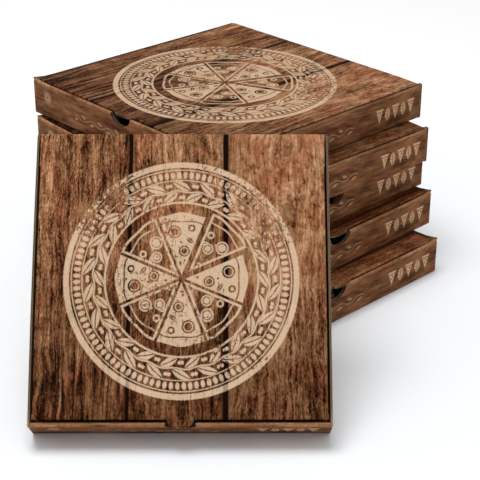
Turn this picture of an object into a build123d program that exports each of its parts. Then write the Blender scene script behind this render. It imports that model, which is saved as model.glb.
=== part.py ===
from build123d import *
import math
import os

# Stack of folded pizza boxes: five closed boxes on top of each other, each one
# turned about 45 degrees and slightly shifted, and a sixth, smaller box that
# stands on its front edge and leans against the front corner of the stack.
# Millimetres, +Z up. The floor is z = 0 and the origin is the middle of the
# footprint. The leaning box faces -Y.

# ---------------------------------------------------------------- dimensions
board = 1.6            # thickness of the corrugated board
ply_gap = 0.3          # air between two layers of board in a double wall

stack_width = 284.0    # outer width and depth of the five stacked boxes
stack_height = 37.2    # closed height of a stacked box
stack_pitch = 37.25    # from one box to the next
lean_width = 254.0     # outer width and depth of the leaning box
lean_height = 41.0     # closed height of the leaning box

crown_drop = 0.6       # top of the rolled front wall below the lid's top
wall_drop = 0.2        # raw top of the side walls below the lid's top
lid_side_gap = 1.4     # air between a side wall and the lid
lid_front_gap = 0.3    # air between the rolled front wall and the lid
hinge_gap = 0.05       # back wall to the underside of an opening lid
fold_radius = 1.3      # outer radius of a folded edge

dust_flap = 46.0       # length of the corner flaps
lid_flap_depth = 23.0  # how far the lid's flaps reach down
lid_flap_chamfer = 9.0 # cut corner of the lid's flaps
tuck_slope = 5.0       # the front flap leans inward, so that it clears the wall
notch_share = 0.095    # width of the thumb notch, as a share of the box's width
notch_depth = 13.5
thumb_share = 0.0905   # width of the lid's thumb tab, as a share of the box's width
thumb_short = 3.6      # reach of the tab on a stacked box
thumb_long = 7.4       # reach of the tab on the leaning box
hinge_out = 0.15       # the lid turns about a line this far outside the back wall
lock_width = 20.0      # lock tabs of the rolled front wall
lock_offset = 62.0

# where each stacked box stands: middle x, y, and turn about Z, top one first.
# A turn near -47 has the front wall at the left front, near +44 at the right.
shift_x = 4.94
shift_y = -1256.42
stack_places = [
    ("top_box", -13.74 + shift_x, 1353.15 + shift_y, 43.572 - 90.0),
    ("second_box", -8.11 + shift_x, 1329.76 + shift_y, 42.110 - 90.0),
    ("third_box", -8.80 + shift_x, 1348.38 + shift_y, 43.259),
    ("fourth_box", -0.20 + shift_x, 1325.36 + shift_y, 44.956),
    ("bottom_box", 3.82 + shift_x, 1290.52 + shift_y, 44.137),
]

# the leaning box: middle of its lower edge, turn about Z, lean from upright
lean_x = -49.33 + shift_x
lean_y = 992.06 + 0.30 + shift_y
lean_turn = 0.491
lean_angle = 40.719

os.makedirs("parts", exist_ok=True)


# ------------------------------------------------------------------ helpers
def block(x0, x1, y0, y1, z0, z1):
    return Pos((x0 + x1) / 2, (y0 + y1) / 2, (z0 + z1) / 2) * Box(x1 - x0, y1 - y0, z1 - z0)


def half_moon(width, depth, top, y0, y1):
    """Half ellipse hanging from z = top, as a cutter running from y0 to y1."""
    face = Plane(origin=(0, y0, top), x_dir=(1, 0, 0), z_dir=(0, -1, 0)) * Ellipse(width / 2, depth)
    return extrude(face, amount=-(y1 - y0))


def long_edges(solid, axis, length, test):
    found = []
    for edge in solid.edges().filter_by(axis):
        if edge.length >= length and test(edge.center()):
            found.append(edge)
    return found


# --------------------------------------------------------------- the carton
def tray(width, height, back_top):
    """Base, four walls, corner flaps and rolled front wall of one box.

    Own frame: base on z = 0, front wall at -Y, lid hinge at +Y."""
    w = width / 2
    d = width / 2
    t = board
    g = ply_gap
    crown = height - crown_drop
    body = block(-w, w, -d, d, 0, t)                              # base
    body += block(-w, w, d - t, d, 0, back_top)                   # back wall
    body += block(-w, w, -d, -d + t, 0, crown)                    # outer front wall
    body += block(-w, w, -d, -d + 2 * t + g, crown - t, crown)    # rolled top
    # folded edges along the bottom, and the outer edge of the rolled top
    low = lambda c: c.Z < 0.01
    edges = long_edges(body, Axis.X, width - 1, low) + long_edges(body, Axis.Y, width - 1, low)
    edges += long_edges(body, Axis.X, width - 1, lambda c: c.Z > crown - 0.01 and c.Y < -d + 0.01)
    body = fillet(edges, fold_radius)
    inner = long_edges(body, Axis.X, width - 1,
                       lambda c: c.Z > crown - 0.01 and abs(c.Y - (-d + 2 * t + g)) < 0.01)
    body = fillet(inner, 0.8)
    for s in (-1, 1):
        x_out, x_in = s * w, s * (w - t)
        body += block(min(x_out, x_in), max(x_out, x_in), -d + t + g, d - t - g,
                      fold_radius, height - wall_drop)            # side wall
        x_tip = s * (w - dust_flap)
        body += block(min(x_in, x_tip), max(x_in, x_tip), -d + t + g, -d + 2 * t + g,
                      t + 0.4, crown - t - 0.3)                   # front corner flap
        body += block(min(x_in, x_tip), max(x_in, x_tip), d - 2 * t - g, d - t - g,
                      t + 0.4, height - t - 0.5)                  # back corner flap
    # inner layer of the front wall, from the rolled top down to the base
    half = w - dust_flap - 3.0
    body += block(-half, half, -d + t + g, -d + 2 * t + g, t + 0.3, crown - 0.9)
    for x in (-lock_offset, lock_offset):
        body -= block(x - lock_width / 2 - 0.4, x + lock_width / 2 + 0.4,
                      -d + t + g - 0.25, -d + 2 * t + g + 0.4, -1, t + 0.01)
        body += block(x - lock_width / 2, x + lock_width / 2,
                      -d + t + g, -d + 2 * t + g, 0.3, t + 1.0)   # lock tab in its slot
    # half-moon notch through both layers
    notch = notch_share * width
    body -= half_moon(notch, notch_depth, crown, -d - 1, -d + t + g / 2)
    body -= half_moon(notch - 0.6, notch_depth - 0.8, crown, -d + t + g / 2, -d + 2 * t + g + 1)
    return body


def lid(width, height, thumb):
    """Lid panel, thumb tab, two side flaps and front tuck flap."""
    w = width / 2
    d = width / 2
    t = board
    g = ply_gap
    front = -d + 2 * t + g + lid_front_gap
    side = w - t - lid_side_gap
    under = height - t
    thumb_width = thumb_share * width
    body = block(-side, side, front, d, under, height)
    edges = long_edges(body, Axis.X, width * 0.8, lambda c: c.Z > height - 0.01)
    edges += long_edges(body, Axis.Y, width * 0.8, lambda c: c.Z > height - 0.01)
    body = fillet(edges, fold_radius)
    # side flaps, cut back at both ends
    y0, y1 = front + 5.0, d - 30.0
    for s in (-1, 1):
        profile = Polyline((y0, under + 0.4), (y0, under - lid_flap_depth + lid_flap_chamfer),
                           (y0 + lid_flap_chamfer, under - lid_flap_depth),
                           (y1 - lid_flap_chamfer, under - lid_flap_depth),
                           (y1, under - lid_flap_depth + lid_flap_chamfer),
                           (y1, under + 0.4), close=True)
        x0 = side - t if s > 0 else -side
        face = Plane(origin=(x0, 0, 0), x_dir=(0, 1, 0), z_dir=(1, 0, 0)) * make_face(profile)
        body += extrude(face, amount=t)
    # front flap, sloped inward
    reach = side - t - 4.0
    lean_in = math.tan(math.radians(tuck_slope))
    drop = lid_flap_depth + 0.4
    profile = Polyline((front, under + 0.4), (front + t, under + 0.4),
                       (front + t + drop * lean_in, under + 0.4 - drop),
                       (front + drop * lean_in, under + 0.4 - drop), close=True)
    face = Plane(origin=(-reach, 0, 0), x_dir=(0, 1, 0), z_dir=(1, 0, 0)) * make_face(profile)
    flap = extrude(face, amount=2 * reach)
    for s in (-1, 1):
        corner = Polyline((s * reach + s * 1, under - lid_flap_depth - 2),
                          (s * reach + s * 1, under - lid_flap_depth + lid_flap_chamfer),
                          (s * reach - s * lid_flap_chamfer - s * 2, under - lid_flap_depth - 2), close=True)
        cut = Plane(origin=(0, front - 1, 0), x_dir=(1, 0, 0), z_dir=(0, -1, 0)) * make_face(corner)
        flap -= extrude(cut, amount=-12)
    flap -= half_moon(thumb_width, 7.5, under - 0.2, front - 1, front + 8)
    body += flap
    # thumb tab, in the plane of the lid
    tab = Pos(0, front + 1.4, under) * extrude(Ellipse(thumb_width / 2, thumb + 1.4), amount=t)
    tab &= block(-thumb_width, thumb_width, front - 20, front + 1.4, under - 1, height + 1)
    body += tab
    return body


def closed_box(width, height, thumb):
    """Tray and lid as the one folded sheet that they are."""
    d = width / 2
    body = tray(width, height, height - board / 2)
    top = lid(width, height, thumb)
    return body + top


def place(shape, x, y, z, turn):
    return Pos(x, y, z) * Rot(0, 0, turn) * shape


# --------------------------------------------------------------- the pieces
nodes = {}
count = len(stack_places)
for index, (name, x, y, turn) in enumerate(stack_places):
    z = (count - 1 - index) * stack_pitch
    if index == 0:
        nodes["top_box_tray"] = place(tray(stack_width, stack_height, stack_height - board - hinge_gap), x, y, z, turn)
        nodes["top_box_lid"] = place(lid(stack_width, stack_height, thumb_short), x, y, z, turn)
    else:
        nodes[name] = place(closed_box(stack_width, stack_height, thumb_short), x, y, z, turn)

# the leaning box: its lower folded edge touches the floor
theta = math.radians(lean_angle)
drop_to_floor = fold_radius * (math.cos(theta) + math.sin(theta)) - fold_radius
lean_place = (Pos(lean_x, lean_y, -drop_to_floor) * Rot(0, 0, lean_turn) * Rot(90.0 - lean_angle, 0, 0)
              * Pos(0, lean_width / 2, 0))
nodes["leaning_box_tray"] = lean_place * tray(lean_width, lean_height, lean_height - board - hinge_gap)
nodes["leaning_box_lid"] = lean_place * lid(lean_width, lean_height, thumb_long)

for name, shape in nodes.items():
    solids = shape.solids()
    export_step(solids[0] if len(solids) == 1 else shape, f"parts/{name}.step")

# hinge lines and the whole size, for the record
top_name, top_x, top_y, top_turn = stack_places[0]
top_hinge = Pos(top_x, top_y, (count - 1) * stack_pitch) * Rot(0, 0, top_turn) * Pos(0, stack_width / 2 + hinge_out, stack_height - board)
lean_hinge = lean_place * Pos(0, lean_width / 2 + hinge_out, lean_height - board)
for label, loc in (("top hinge", top_hinge), ("leaning hinge", lean_hinge)):
    plane = Plane(loc)
    print(label, [round(v / 1000, 6) for v in plane.origin], "axis", [round(v, 6) for v in plane.x_dir])
whole = Compound(children=list(nodes.values())).bounding_box()
print("box", [round(v, 3) for v in whole.min], [round(v, 3) for v in whole.max])
for name, shape in nodes.items():
    print(name, len(shape.solids()), round(shape.volume, 1))
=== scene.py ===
import math

import bpy
import numpy as np
from mathutils import Matrix, Vector
from mathutils.geometry import delaunay_2d_cdt


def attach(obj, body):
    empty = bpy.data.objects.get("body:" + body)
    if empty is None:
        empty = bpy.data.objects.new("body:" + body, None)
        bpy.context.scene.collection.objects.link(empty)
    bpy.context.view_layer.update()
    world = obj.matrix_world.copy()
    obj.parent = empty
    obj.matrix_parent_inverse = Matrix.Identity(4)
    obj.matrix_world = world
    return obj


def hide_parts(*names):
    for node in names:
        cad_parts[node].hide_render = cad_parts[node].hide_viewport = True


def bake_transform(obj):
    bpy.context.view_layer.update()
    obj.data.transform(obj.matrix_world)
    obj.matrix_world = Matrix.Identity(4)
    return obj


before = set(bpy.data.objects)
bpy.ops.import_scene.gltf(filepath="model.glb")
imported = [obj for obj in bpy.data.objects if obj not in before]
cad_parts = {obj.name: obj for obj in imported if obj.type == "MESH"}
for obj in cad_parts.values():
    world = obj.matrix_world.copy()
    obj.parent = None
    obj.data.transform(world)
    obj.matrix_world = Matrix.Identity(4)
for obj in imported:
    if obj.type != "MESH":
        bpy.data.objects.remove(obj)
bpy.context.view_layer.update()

# ------------------------------------------------------------------ the camera
camera_data = bpy.data.cameras.new("camera")
camera_data.lens = 103.769
camera_data.sensor_width = 36.0
camera_data.clip_start, camera_data.clip_end = 0.05, 30.0
camera = bpy.data.objects.new("camera", camera_data)
camera.matrix_world = (Matrix.Translation((0.00494, -1.25642, 0.67381))
                       @ Matrix.Rotation(math.radians(90.0 - 26.367), 4, "X")
                       @ Matrix.Rotation(math.radians(0.231), 4, "Z"))
bpy.context.scene.collection.objects.link(camera)
bpy.context.scene.camera = camera

# ------------------------------------------------------------------ dimensions (mm)
T = 1.6          # board
HALF = T / 2
PLY = 0.3        # air between two layers
BEND = 1.0       # radius of a fold at the middle of the board
ROLL = (T + PLY) / 2
LINER = 0.27     # paper on each side of the flutes
GROOVE = 0.95    # how deep an open edge is seen between the liners
FLUTE = 3.3      # pitch of the flutes
LID, WALL, KRAFT, EDGE = 0, 1, 2, 3

STACK_W, STACK_H = 142.0, 37.2
LEAN_W, LEAN_H = 127.0, 41.0


# ------------------------------------------------------------------ folded paths
class Path:
    """A path of straight runs and bends in a plane. at(s) gives the point at length s."""

    def __init__(self, start, heading):
        self.p = np.array(start, float)
        self.a = math.radians(heading)
        self.s = 0.0
        self.parts = []
        self.marks = {}

    def run(self, length, name):
        self.parts.append(("run", self.s, self.s + length, self.p.copy(), self.a, 0.0))
        self.marks[name] = (self.s, self.s + length)
        self.p = self.p + length * np.array([math.cos(self.a), math.sin(self.a)])
        self.s += length
        return self

    def bend(self, degrees, radius, name):
        sweep = math.radians(degrees)
        length = abs(sweep) * radius
        self.parts.append(("bend", self.s, self.s + length, self.p.copy(), self.a, radius))
        self.marks[name] = (self.s, self.s + length)
        centre = self.p + radius * np.array([-math.sin(self.a), math.cos(self.a)])
        self.a += sweep
        self.p = centre + radius * np.array([math.sin(self.a), -math.cos(self.a)])
        self.s += length
        return self

    def at(self, s):
        s = np.asarray(s, float)
        out = np.zeros(s.shape + (2,))
        for i, (kind, s0, s1, p, a, r) in enumerate(self.parts):
            m = (s >= s0) if i else np.ones(s.shape, bool)
            q = s[m] - s0
            if kind == "run":
                out[m] = p + q[:, None] * np.array([math.cos(a), math.sin(a)])
            else:
                centre = p + r * np.array([-math.sin(a), math.cos(a)])
                b = a + q / r
                out[m] = centre + r * np.stack([np.sin(b), -np.cos(b)], 1)
        return out


def spaced(a, b, step):
    n = max(1, int(round(abs(b - a) / step)))
    return list(np.linspace(a, b, n + 1))


def tidy(values):
    """Sorted, with near doubles dropped."""
    out = []
    for v in sorted(values):
        if not out or v - out[-1] > 1e-4:
            out.append(v)
    return out


# ------------------------------------------------------------------ flat pieces
def inside(points, outlines):
    x, y = points[:, 0], points[:, 1]
    result = np.zeros(len(points), bool)
    for loop in outlines:
        p = np.array(loop, float)
        q = np.roll(p, -1, axis=0)
        for (x0, y0), (x1, y1) in zip(p, q):
            if y0 == y1:
                continue
            hit = ((y0 > y) != (y1 > y)) & (x < (x1 - x0) * (y - y0) / (y1 - y0) + x0)
            result ^= hit
    return result


def cut_flat(outlines, columns, rows):
    """Triangles of a flat piece with these outlines, the first the outer one, crossed by straight rows and columns of vertices."""
    points, edges = [], []
    for loop in outlines:
        base = len(points)
        points += [tuple(p) for p in loop]
        edges += [(base + i, base + (i + 1) % len(loop)) for i in range(len(loop))]
    everything = np.array(outlines[0], float)
    lo, hi = everything.min(0), everything.max(0)
    columns = tidy(list(columns))
    for s in tidy(rows):
        base = len(points)
        xs = [lo[0] - 1.0] + [c for c in columns if lo[0] - 0.5 < c < hi[0] + 0.5] + [hi[0] + 1.0]
        points += [(x, s) for x in xs]
        edges += [(base + i, base + i + 1) for i in range(len(xs) - 1)]
    made = delaunay_2d_cdt([Vector(p) for p in points], edges, [], 0, 1e-5, False)
    verts = np.array([tuple(v) for v in made[0]], float)
    faces = np.array([list(f) for f in made[2] if len(f) == 3], int)
    a, b, c = verts[faces[:, 0]], verts[faces[:, 1]], verts[faces[:, 2]]
    area = (b[:, 0] - a[:, 0]) * (c[:, 1] - a[:, 1]) - (b[:, 1] - a[:, 1]) * (c[:, 0] - a[:, 0])
    faces[area < 0] = faces[area < 0][:, ::-1]
    keep = inside((a + b + c) / 3, outlines) & (abs(area) > 1e-7)
    faces = faces[keep]
    used = np.unique(faces)
    index = -np.ones(len(verts), int)
    index[used] = np.arange(len(used))
    return verts[used], index[faces]


def half_ellipse(cx, cy, a, b, n, start, stop):
    return [(cx + a * math.cos(t), cy + b * math.sin(t)) for t in np.linspace(start, stop, n)]


class Sheet:
    """Middle surface of the folded board, gathered from flat pieces."""

    def __init__(self):
        self.co, self.faces, self.uv, self.art, self.dim, self.mat, self.flat, self.plain = [], [], [], [], [], [], [], []
        self.n = 0

    def add(self, flat, faces, place, paint, flip, across, plain=None):
        """place(points) gives 3-D points, paint(points, centroids) gives print and art coordinates and the outer material of each triangle, across is the flat axis that the flutes cross."""
        co = place(flat)
        if flip:
            faces = faces[:, ::-1]
        corners = flat[faces]
        middle = corners.mean(1)
        uv, art, mat, dim = paint(corners.reshape(-1, 2), np.repeat(middle, 3, 0))
        self.co.append(co)
        self.faces.append(faces + self.n)
        self.uv.append(uv.reshape(-1, 3, 2))
        self.art.append(art.reshape(-1, 3, 2))
        self.dim.append((dim if dim.ndim == 2 else np.column_stack([dim, dim])).reshape(-1, 3, 2))
        self.mat.append(mat.reshape(-1, 3)[:, 0])
        # flat coordinates with the flutes along the first axis, for the open edges
        f = corners if across == 1 else corners[:, :, ::-1]
        self.flat.append(f)
        self.plain.append(np.zeros(len(faces), bool) if plain is None else plain(middle))
        self.n += len(co)

    def welded(self):
        co = np.concatenate(self.co)
        key = np.round((co + 0.0001237) * 400).astype(np.int64)
        _, first, back = np.unique(key, axis=0, return_index=True, return_inverse=True)
        back = back.reshape(-1)
        faces = back[np.concatenate(self.faces)]
        uv, art = np.concatenate(self.uv), np.concatenate([np.concatenate(self.art), np.concatenate(self.dim)], 2)
        mat, flat, plain = np.concatenate(self.mat), np.concatenate(self.flat), np.concatenate(self.plain)
        good = (faces[:, 0] != faces[:, 1]) & (faces[:, 1] != faces[:, 2]) & (faces[:, 0] != faces[:, 2])
        return co[first], faces[good], uv[good], art[good], mat[good], flat[good], plain[good]


def vertex_normals(co, faces):
    p = co[faces]
    fn = np.cross(p[:, 1] - p[:, 0], p[:, 2] - p[:, 0])
    fn /= np.maximum(np.linalg.norm(fn, axis=1), 1e-12)[:, None]
    vn = np.zeros_like(co)
    for k in range(3):
        a, b, c = p[:, k], p[:, (k + 1) % 3], p[:, (k + 2) % 3]
        e, g = b - a, c - a
        cos = (e * g).sum(1) / np.maximum(np.linalg.norm(e, axis=1) * np.linalg.norm(g, axis=1), 1e-12)
        angle = np.arccos(np.clip(cos, -1, 1))
        np.add.at(vn, faces[:, k], fn * angle[:, None])
    vn /= np.maximum(np.linalg.norm(vn, axis=1), 1e-12)[:, None]
    return fn, vn


class Solid:
    """Vertices, polygons and their coordinates, collected for one Blender mesh."""

    def __init__(self):
        self.co, self.poly, self.uv, self.art, self.mat, self.n = [], [], [], [], [], 0

    def add(self, co, polys, uv, art, mat):
        self.co.append(co)
        self.poly += [[i + self.n for i in p] for p in polys]
        self.uv += list(uv)
        self.art += list(art)
        self.mat += list(mat)
        self.n += len(co)


def thicken(sheet, flutes, tint):
    """The board around its middle surface: both liners, and open edges with the groove between the liners and the wavy paper in it. tint(middle) is the shade of an open edge: 0 grey, 1 brown, 2 black."""
    co, faces, uv, art, mat, flat, plain = sheet.welded()
    fn, vn = vertex_normals(co, faces)
    spread = np.zeros(len(co))
    count = np.zeros(len(co))
    for k in range(3):
        np.add.at(spread, faces[:, k], (fn * vn[faces[:, k]]).sum(1))
        np.add.at(count, faces[:, k], 1)
    grow = 1 / np.clip(spread / np.maximum(count, 1), 0.75, 1)
    reach = vn * grow[:, None]
    n = len(co)
    out = Solid()
    shell = np.concatenate([co + HALF * reach, co - HALF * reach])
    polys = [list(f) for f in faces] + [[i + n for i in f[::-1]] for f in faces]
    uvs = [u for u in uv] + [u[::-1] for u in uv]
    arts = [u for u in art] + [u[::-1] for u in art]
    mats = list(mat) + [KRAFT] * len(faces)
    # open edges
    seen = {}
    for f, tri in enumerate(faces):
        for k in range(3):
            a, b = int(tri[k]), int(tri[(k + 1) % 3])
            seen.setdefault((min(a, b), max(a, b)), []).append((f, k, a, b))
    rim = [v[0] for v in seen.values() if len(v) == 1]
    inward = np.zeros_like(co)
    touch = {}
    for f, k, a, b in rim:
        e = co[b] - co[a]
        length = np.linalg.norm(e)
        e = e / max(length, 1e-9)
        left = np.cross(fn[f], e)
        for v in (a, b):
            touch.setdefault(v, []).append(left)
    for v, ls in touch.items():
        m = np.mean(ls, axis=0)
        q = np.linalg.norm(m)
        inward[v] = m / max(q, 0.3) / max(q, 0.6)
    rim_plain = {}
    for f, k, a, b in rim:
        for v in (a, b):
            rim_plain[v] = rim_plain.get(v, False) or bool(plain[f])
    extra, extra_at = [], {}

    def level(v, h, d):
        key = (v, h, d)
        if key not in extra_at:
            extra_at[key] = 2 * n + len(extra)
            extra.append(co[v] + h * reach[v] + (0 if rim_plain[v] else d) * inward[v])
        return extra_at[key]

    mid = HALF - LINER
    strips = []
    for f, k, a, b in rim:
        length = float(np.linalg.norm(co[b] - co[a]))
        shade = [(0, 0, 0, 0.01 * tint((co[a] + co[b]) / 2))] * 4
        if plain[f]:
            polys.append([a, a + n, b + n, b])
            uvs.append([(0, HALF), (0, -HALF), (length, -HALF), (length, HALF)])
            arts.append(shade)
            mats.append(EDGE)
            continue
        col_a = [a, level(a, mid, 0), level(a, mid, GROOVE), level(a, -mid, GROOVE), level(a, -mid, 0), a + n]
        col_b = [b, level(b, mid, 0), level(b, mid, GROOVE), level(b, -mid, GROOVE), level(b, -mid, 0), b + n]
        for i in range(5):
            polys.append([col_a[i], col_a[i + 1], col_b[i + 1], col_b[i]])
            uvs.append([(0, HALF - i * 0.3), (0, HALF - (i + 1) * 0.3), (length, HALF - (i + 1) * 0.3), (length, HALF - i * 0.3)])
            arts.append(shade)
            mats.append(EDGE)
        middle = (co[a] + co[b]) / 2
        if not flutes(middle):
            continue
        fa, fb = flat[f][k], flat[f][(k + 1) % 3]
        run = fb - fa
        across = abs(run[1]) / max(np.linalg.norm(run), 1e-9)
        if across > 0.35 and length > 0.05:
            strips.append((a, b, fa[1], fb[1]))
    out.add(np.concatenate([shell, np.array(extra).reshape(-1, 3)]), polys, uvs, arts, mats)
    # the wavy paper, between the liners, seen at the edges that cross the flutes
    wave_co, wave_poly, wave_uv = [], [], []
    for a, b, ta, tb in strips:
        steps = max(1, int(math.ceil(abs(tb - ta) / (FLUTE / 9))))
        base = len(wave_co)
        for i in range(steps + 1):
            w = i / steps
            p = co[a] * (1 - w) + co[b] * w
            nn = reach[a] * (1 - w) + reach[b] * w
            inn = inward[a] * (1 - w) + inward[b] * w
            phase = (ta * (1 - w) + tb * w) / FLUTE * 2 * math.pi
            h = (mid - 0.09) * math.sin(phase)
            deep = 0.08 + 0.05 * math.sin(phase * 0.31)
            for hh, dd in ((h + 0.09, deep), (h + 0.09, GROOVE), (h - 0.09, GROOVE), (h - 0.09, deep)):
                wave_co.append(p + hh * nn + dd * inn)
        for i in range(steps):
            q = base + 4 * i
            # top of the paper, then its two sides
            wave_poly.append([q, q + 3, q + 7, q + 4])
            wave_poly.append([q + 1, q, q + 4, q + 5])
            wave_poly.append([q + 3, q + 2, q + 6, q + 7])
            wave_poly.append([q + 2, q + 1, q + 5, q + 6])
            wave_uv += [[(0, 0), (0, 0.2), (0.4, 0.2), (0.4, 0)]] * 4
        wave_poly.append([base, base + 1, base + 2, base + 3])
        e = base + 4 * steps
        wave_poly.append([e + 3, e + 2, e + 1, e])
        wave_uv += [[(0, 0), (0, 0.2), (0.4, 0.2), (0.4, 0)]] * 2
    if wave_co:
        out.add(np.array(wave_co), wave_poly, wave_uv, [[(0, 0, 0, 0.01 * tint(co[strips[0][0]]))] * 4] * len(wave_poly), [EDGE] * len(wave_poly))
    return out


# ------------------------------------------------------------------ one carton
def pizza_box(w, h, thumb, notch, part, wave_all, gap, spin, stretch):
    """The middle surface of one box in its own frame (mm): base on z = 0, front at -Y, hinge at +Y.
    part is "whole", "tray" or "lid". gap is the air in front of the lid. spin turns the lid's print by 90 degrees and shifts its planks. stretch widens the front wall's print from its right-hand end."""
    sheet = Sheet()
    k = 127.0 / w          # the lid's print grows with the box
    kw = 142.0 / w
    kh = 37.2 / h
    path = Path((-w + HALF + T + PLY, T + 0.3), 90)
    path.run(h - 0.6 - HALF - ROLL - (T + 0.3), "inner")
    path.bend(180, ROLL, "roll")
    path.run(h - 0.6 - HALF - ROLL - (HALF + BEND), "front")
    path.bend(90, BEND, "low_front")
    path.run(2 * w - 2 * (HALF + BEND), "base")
    path.bend(90, BEND, "low_back")
    path.run(h - 2 * (HALF + BEND), "back")
    path.bend(90, BEND, "hinge")
    path.run(2 * w - 3.5 - gap - 2 * HALF - 2 * BEND, "lid")
    path.bend(95, BEND, "fold")
    path.run(21.3, "flap")
    m = path.marks
    lid0, lid1 = m["lid"]
    base0, base1 = m["base"]
    tab_half = 0.0905 * w
    flap_half = w - 8.6
    tongue = 12.0 if w < 130 else 2.6     # how far down the side walls' ends stand in front of the front wall's
    lid_in = w - 3.0 - HALF - BEND - (0.6 if w < 130 else 0.5)   # where the lid's side folds begin
    lid_raw = w - 3.2
    back1 = m["back"][1]
    split = back1 - 4.0                   # where an opening lid is parted from its tray
    side_y0, side_y1 = -w + 8.8, w - 30.0
    base_in = w - HALF - BEND
    reach_y = w - 2.2

    def s_of_lid(y):
        return lid0 + (w - HALF - BEND) - y

    def s_of_base(y):
        return base0 + y + (w - HALF - BEND)

    # painted shade in the gap beside a fold: it darkens over the first 0.9 mm past the fold, then fades to a quarter
    # between 4 and 13 mm
    def shade_and_tint(past):
        return np.clip(past / 0.9, 0, 1) * (1 - 0.75 * np.clip((past - 4) / 9, 0, 1))

    def lid_print(x, y):
        if spin is None:
            art = np.column_stack([x * k, y * k])
            if w < 130:
                return art, art * np.array([1.025, 0.992])
            return art * np.array([1.0, 0.78]) - np.array([0.0, 4.0]), art
        return np.column_stack([-y * k + spin, x * k]), np.column_stack([-y * k, x * k])

    def place_main(p):
        x, s = p[:, 0], p[:, 1]
        yz = path.at(s)
        inner = (x / (tab_half + 0.15)) ** 2 + (np.clip(s - lid1 - 0.6, 0, None) / (tip - lid1 - 0.4)) ** 2 < 1
        flat = (s > lid1 + 1e-6) & (inner | (abs(x) > flap_half + 0.15))
        yz[flat, 0] = -w + 3.5 + gap + HALF + BEND - (s[flat] - lid1)
        yz[flat, 1] = h - HALF
        return np.column_stack([x, yz])

    def paint_main(p, c):
        x, s, cs = p[:, 0], p[:, 1], c[:, 1]
        uv = np.zeros((len(p), 2))
        mat = np.full(len(p), KRAFT)
        front = cs < m["low_front"][1]
        yz = path.at(s)
        z = yz[:, 1].copy()
        rolled = s < (m["roll"][0] + m["roll"][1]) / 2
        z[rolled] = h + 60 + s[rolled]
        uv[front] = np.column_stack([131.0 - (131.0 - x[front] * kw) / stretch, z[front] * kh])
        mat[front] = WALL
        back = (cs > m["low_back"][0]) & (cs < m["hinge"][0])
        uv[back] = np.column_stack([-x[back] * kw, z[back] * kh])
        mat[back] = WALL
        top = cs >= m["hinge"][0]
        y = (w - HALF - BEND) - (s - lid0)
        art = uv.copy()
        uv[top], art[top] = lid_print(x[top], y[top])
        mat[top] = LID
        base = (cs >= m["low_front"][1]) & (cs <= m["low_back"][0])
        uv[base] = np.column_stack([x[base], s[base]])
        # painted shade past the lid's front fold and on the inner side of the rolled front wall, none on the tab
        past = np.where(cs > lid1 - 1e-6, s - lid1 - 0.8, np.where(cs < m["roll"][1], m["roll"][0] + 1.3 - s, 0.0))
        tab = (cs > lid1) & ((c[:, 0] / (tab_half + 0.15)) ** 2 + (np.clip(cs - lid1 - 0.6, 0, None) / (tip - lid1 - 0.4)) ** 2 < 1)
        return uv / 100, art / 100, mat, shade_and_tint(past) * ~tab

    # rows of vertices across the strip
    rows = []
    for name, step in (("inner", 9), ("front", 8), ("base", 14), ("back", 9), ("lid", 11), ("flap", 8)):
        rows += spaced(*m[name], step)
    for name, n in (("roll", 12), ("low_front", 6), ("low_back", 6), ("hinge", 8), ("fold", 7)):
        rows += list(np.linspace(*m[name], n + 1))
    rows += [lid0 + d for d in (0.3, 0.6, 0.9, 1.3, 1.8, 2.5, 3.5, 5.0)]
    columns = spaced(-w, w, 12)
    base_ys = spaced(-reach_y, reach_y, 12)
    lid_ys = spaced(side_y0, side_y1, 11)

    # tray outline, counter-clockwise from the inner front wall's lower edge
    top_roll, end_roll = m["roll"]
    inner_half = w - 46.0 - 3.0
    narrow = w - T - 0.35
    right = [(inner_half, 0.0), (inner_half + 0.0, top_roll - 2.2), (inner_half + 1.8, top_roll - 0.6),
             (narrow - 1.2, top_roll - 0.6), (narrow - 0.4, top_roll + 0.2), (narrow, top_roll + 1.6), (narrow, end_roll + tongue - 3.6),
             (narrow + 0.4, end_roll + tongue - 2.5), (w - 0.3, end_roll + tongue - 1.9), (w, end_roll + tongue - 1.4),
             (w, base0 - 0.25), (w - 0.35, base0 + 0.0), (base_in, s_of_base(-reach_y))]
    right += [(base_in, s_of_base(y)) for y in base_ys[1:-1]]
    right += [(base_in, s_of_base(reach_y)), (w - 0.35, base1), (w, base1 + 0.25)]
    low = [(-inner_half, 0.0)]
    for cx in (-62.0, 62.0):
        low += [(cx - 10, 0.0), (cx - 9.5, -1.6), (cx + 9.5, -1.6), (cx + 10, 0.0)]
    lid_right = [(lid_raw, back1 + 0.05), (lid_raw, s_of_lid(side_y1) - 0.3), (lid_in, s_of_lid(side_y1))]
    lid_right += [(lid_in, s_of_lid(y)) for y in lid_ys[1:-1][::-1]]
    lid_right += [(lid_in, s_of_lid(side_y0)), (lid_raw, s_of_lid(side_y0) + 0.3), (lid_raw, lid1 + 1.35), (lid_raw - 0.4, lid1 + 1.6),
                  (flap_half + 0.3, lid1 + 1.6), (flap_half + 0.3, lid1 - 0.05), (flap_half, lid1 + 0.05)]
    flap1 = m["flap"][1]
    flap_right = [(flap_half - 0.4, flap1 - 9.0), (flap_half - 11, flap1)]
    # the lid's front: the flap, with the tab cut free in its middle
    tip = lid1 + HALF + BEND + thumb + gap - 0.3
    tab = half_ellipse(0, lid1 + 0.6, tab_half, tip - lid1 - 0.6, 25, 0, math.pi)
    scoop = half_ellipse(0, lid1 + 1.0, tab_half + (0.35 if notch[1] < 14 else 7.0), max(15.0, notch[1] + 3.2), 25, 0, math.pi)
    mouth = [(tab_half + 0.35, lid1 + 0.02), (tab_half, lid1 - 0.1)] + tab + [(-tab_half, lid1 - 0.1), (-tab_half - 0.35, lid1 + 0.02)]

    def mirrored(points):
        return [(-x, s) for x, s in points[::-1]]

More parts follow.
